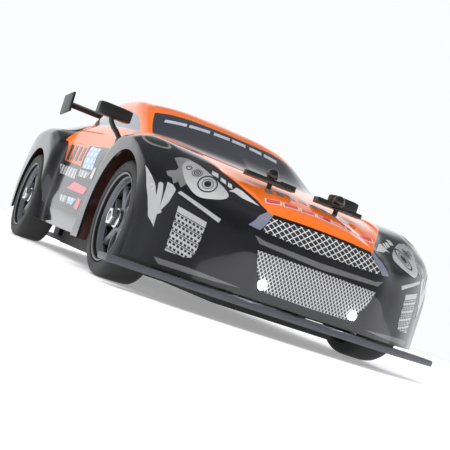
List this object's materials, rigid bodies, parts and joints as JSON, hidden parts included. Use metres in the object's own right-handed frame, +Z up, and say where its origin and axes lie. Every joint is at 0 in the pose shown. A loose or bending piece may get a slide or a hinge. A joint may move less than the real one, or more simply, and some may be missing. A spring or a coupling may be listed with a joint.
{
  "type": "remote control car",
  "caption": "Remote control drift car: shaft-driven chassis with steered front wheels under a lift-off coupe body shell with wing, mirrors, splitter and body clips.",
  "frame": {"origin": "on the ground under the middle of the car, halfway between its front and rear ends", "axes": "+Z up, the nose points to -Y, +X is the car's left side"},
  "size_m": [0.162, 0.295, 0.0993],
  "materials": {
    "shell_paint": "thin formed shell, orange roof and bonnet over gloss black nose, wings and sides",
    "trim_black": "moulded black, semi gloss",
    "tub_nylon": "fine moulded grain",
    "tyre_rubber": "matt slick",
    "rim_gunmetal": "plated gunmetal",
    "nut_chrome": "polished",
    "gear_steel": "machined",
    "pinion_brass": "machined",
    "board_green": "coated circuit board",
    "battery_wrap": "shrink wrap",
    "servo_case": "moulded case",
    "led_lens": "clear dome"
  },
  "bodies": {
    "root": {"chassis_tub": "tub_nylon", "front_splitter": "trim_black", "front_gearbox_case": "tub_nylon", "front_gearbox_cover": "tub_nylon", "rear_gearbox_case": "tub_nylon", "rear_gearbox_cover": "tub_nylon", "drive_motor": "gear_steel", "battery_pack": "battery_wrap", "control_board": "board_green", "steering_servo": "servo_case", "front_body_posts": "tub_nylon", "rear_body_posts": "tub_nylon", "front_lower_arm_left": "tub_nylon", "front_lower_arm_right": "tub_nylon", "front_upper_brace": "tub_nylon", "rear_upright_left": "tub_nylon", "rear_upright_right": "tub_nylon"},
    "battery_cover": {"battery_cover": "tub_nylon"},
    "power_switch": {"power_switch_slider": "tub_nylon"},
    "rear_axle": {"rear_axle": "gear_steel", "rear_ring_gear": "gear_steel", "rear_tyre_left": "tyre_rubber", "rear_rim_left": "rim_gunmetal", "rear_wheel_nut_left": "nut_chrome", "rear_tyre_right": "tyre_rubber", "rear_rim_right": "rim_gunmetal", "rear_wheel_nut_right": "nut_chrome"},
    "centre_shaft": {"centre_shaft": "gear_steel", "spur_gear": "tub_nylon"},
    "motor_pinion": {"motor_pinion": "pinion_brass"},
    "front_differential": {"front_differential": "gear_steel", "front_dogbone_left": "gear_steel", "front_dogbone_right": "gear_steel"},
    "steering_link": {"steering_link": "tub_nylon"},
    "servo_horn": {"servo_horn": "tub_nylon"},
    "shell": {"body_shell": "shell_paint", "headlight_led_left": "led_lens", "headlight_led_right": "led_lens", "mirror_left": "trim_black", "mirror_right": "trim_black", "wing_blade": "trim_black", "wing_end_plate_left": "trim_black", "wing_end_plate_right": "trim_black"},
    "knuckle_left": {"steering_knuckle_left": "tub_nylon"},
    "front_wheel_left": {"front_tyre_left": "tyre_rubber", "front_rim_left": "rim_gunmetal", "front_wheel_nut_left": "nut_chrome", "front_axle_left": "gear_steel"},
    "clip_left": {"clip_plate_left": "trim_black", "clip_knob_left": "trim_black"},
    "rear_clip_left": {"rear_clip_left": "trim_black"},
    "knuckle_right": {"steering_knuckle_right": "tub_nylon"},
    "front_wheel_right": {"front_tyre_right": "tyre_rubber", "front_rim_right": "rim_gunmetal", "front_wheel_nut_right": "nut_chrome", "front_axle_right": "gear_steel"},
    "clip_right": {"clip_plate_right": "trim_black", "clip_knob_right": "trim_black"},
    "rear_clip_right": {"rear_clip_right": "trim_black"}
  },
  "joints": [
    {"name": "rear_axle_spin", "type": "hinge", "parent": "root", "child": "rear_axle", "pos_m": [0, 0.09, 0.026], "axis": [1, 0, 0], "continuous": true},
    {"name": "centre_shaft_spin", "type": "hinge", "parent": "root", "child": "centre_shaft", "pos_m": [0, 0, 0.026], "axis": [0, 1, 0], "continuous": true},
    {"name": "motor_pinion_spin", "type": "hinge", "parent": "root", "child": "motor_pinion", "pos_m": [0.0188, 0.0325, 0.026], "axis": [0, 1, 0], "continuous": true},
    {"name": "front_differential_spin", "type": "hinge", "parent": "root", "child": "front_differential", "pos_m": [0, -0.09, 0.026], "axis": [1, 0, 0], "continuous": true},
    {"name": "knuckle_left_steer", "type": "hinge", "parent": "root", "child": "knuckle_left", "pos_m": [0.05, -0.09, 0.026], "axis": [0, 0, 1], "range_deg": [-20, 20]},
    {"name": "knuckle_right_steer", "type": "hinge", "parent": "root", "child": "knuckle_right", "pos_m": [-0.05, -0.09, 0.026], "axis": [0, 0, 1], "range_deg": [-20, 20]},
    {"name": "front_wheel_left_spin", "type": "hinge", "parent": "knuckle_left", "child": "front_wheel_left", "pos_m": [0.064, -0.09, 0.026], "axis": [1, 0, 0], "continuous": true},
    {"name": "front_wheel_right_spin", "type": "hinge", "parent": "knuckle_right", "child": "front_wheel_right", "pos_m": [-0.064, -0.09, 0.026], "axis": [1, 0, 0], "continuous": true},
    {"name": "steering_link_slide", "type": "slide", "parent": "root", "child": "steering_link", "axis": [1, 0, 0], "range_m": [-0.0065, 0.0065]},
    {"name": "servo_horn_turn", "type": "hinge", "parent": "root", "child": "servo_horn", "pos_m": [0.021, -0.065, 0.021], "axis": [0, 1, 0], "range_deg": [-36, 36]},
    {"name": "battery_cover_hinge", "type": "hinge", "parent": "root", "child": "battery_cover", "pos_m": [-0.032, 0.03, 0.0055], "axis": [1, 0, 0], "range_deg": [0, 90]},
    {"name": "power_switch_slide", "type": "slide", "parent": "root", "child": "power_switch", "axis": [0, 1, 0], "range_m": [0, 0.005]},
    {"name": "shell_lift", "type": "slide", "parent": "root", "child": "shell", "axis": [0, 0, 1], "range_m": [0, 0.09]},
    {"name": "clip_left_pull", "type": "slide", "parent": "shell", "child": "clip_left", "axis": [0, 0, 1], "range_m": [0, 0.02]},
    {"name": "clip_right_pull", "type": "slide", "parent": "shell", "child": "clip_right", "axis": [0, 0, 1], "range_m": [0, 0.02]},
    {"name": "rear_clip_left_pull", "type": "slide", "parent": "shell", "child": "rear_clip_left", "axis": [0, 0, 1], "range_m": [0, 0.02]},
    {"name": "rear_clip_right_pull", "type": "slide", "parent": "shell", "child": "rear_clip_right", "axis": [0, 0, 1], "range_m": [0, 0.02]}
  ],
  "couplings": [
    {"joint": "centre_shaft_spin", "follows": "rear_axle_spin", "ratio": 2.5},
    {"joint": "motor_pinion_spin", "follows": "rear_axle_spin", "ratio": -7.8571},
    {"joint": "front_differential_spin", "follows": "rear_axle_spin", "ratio": 1},
    {"joint": "front_wheel_left_spin", "follows": "rear_axle_spin", "ratio": 1},
    {"joint": "front_wheel_right_spin", "follows": "rear_axle_spin", "ratio": 1},
    {"joint": "knuckle_right_steer", "follows": "knuckle_left_steer", "ratio": 1},
    {"joint": "steering_link_slide", "follows": "knuckle_left_steer", "m_per_rad": -0.018},
    {"joint": "servo_horn_turn", "follows": "knuckle_left_steer", "ratio": -1.7143}
  ]
}
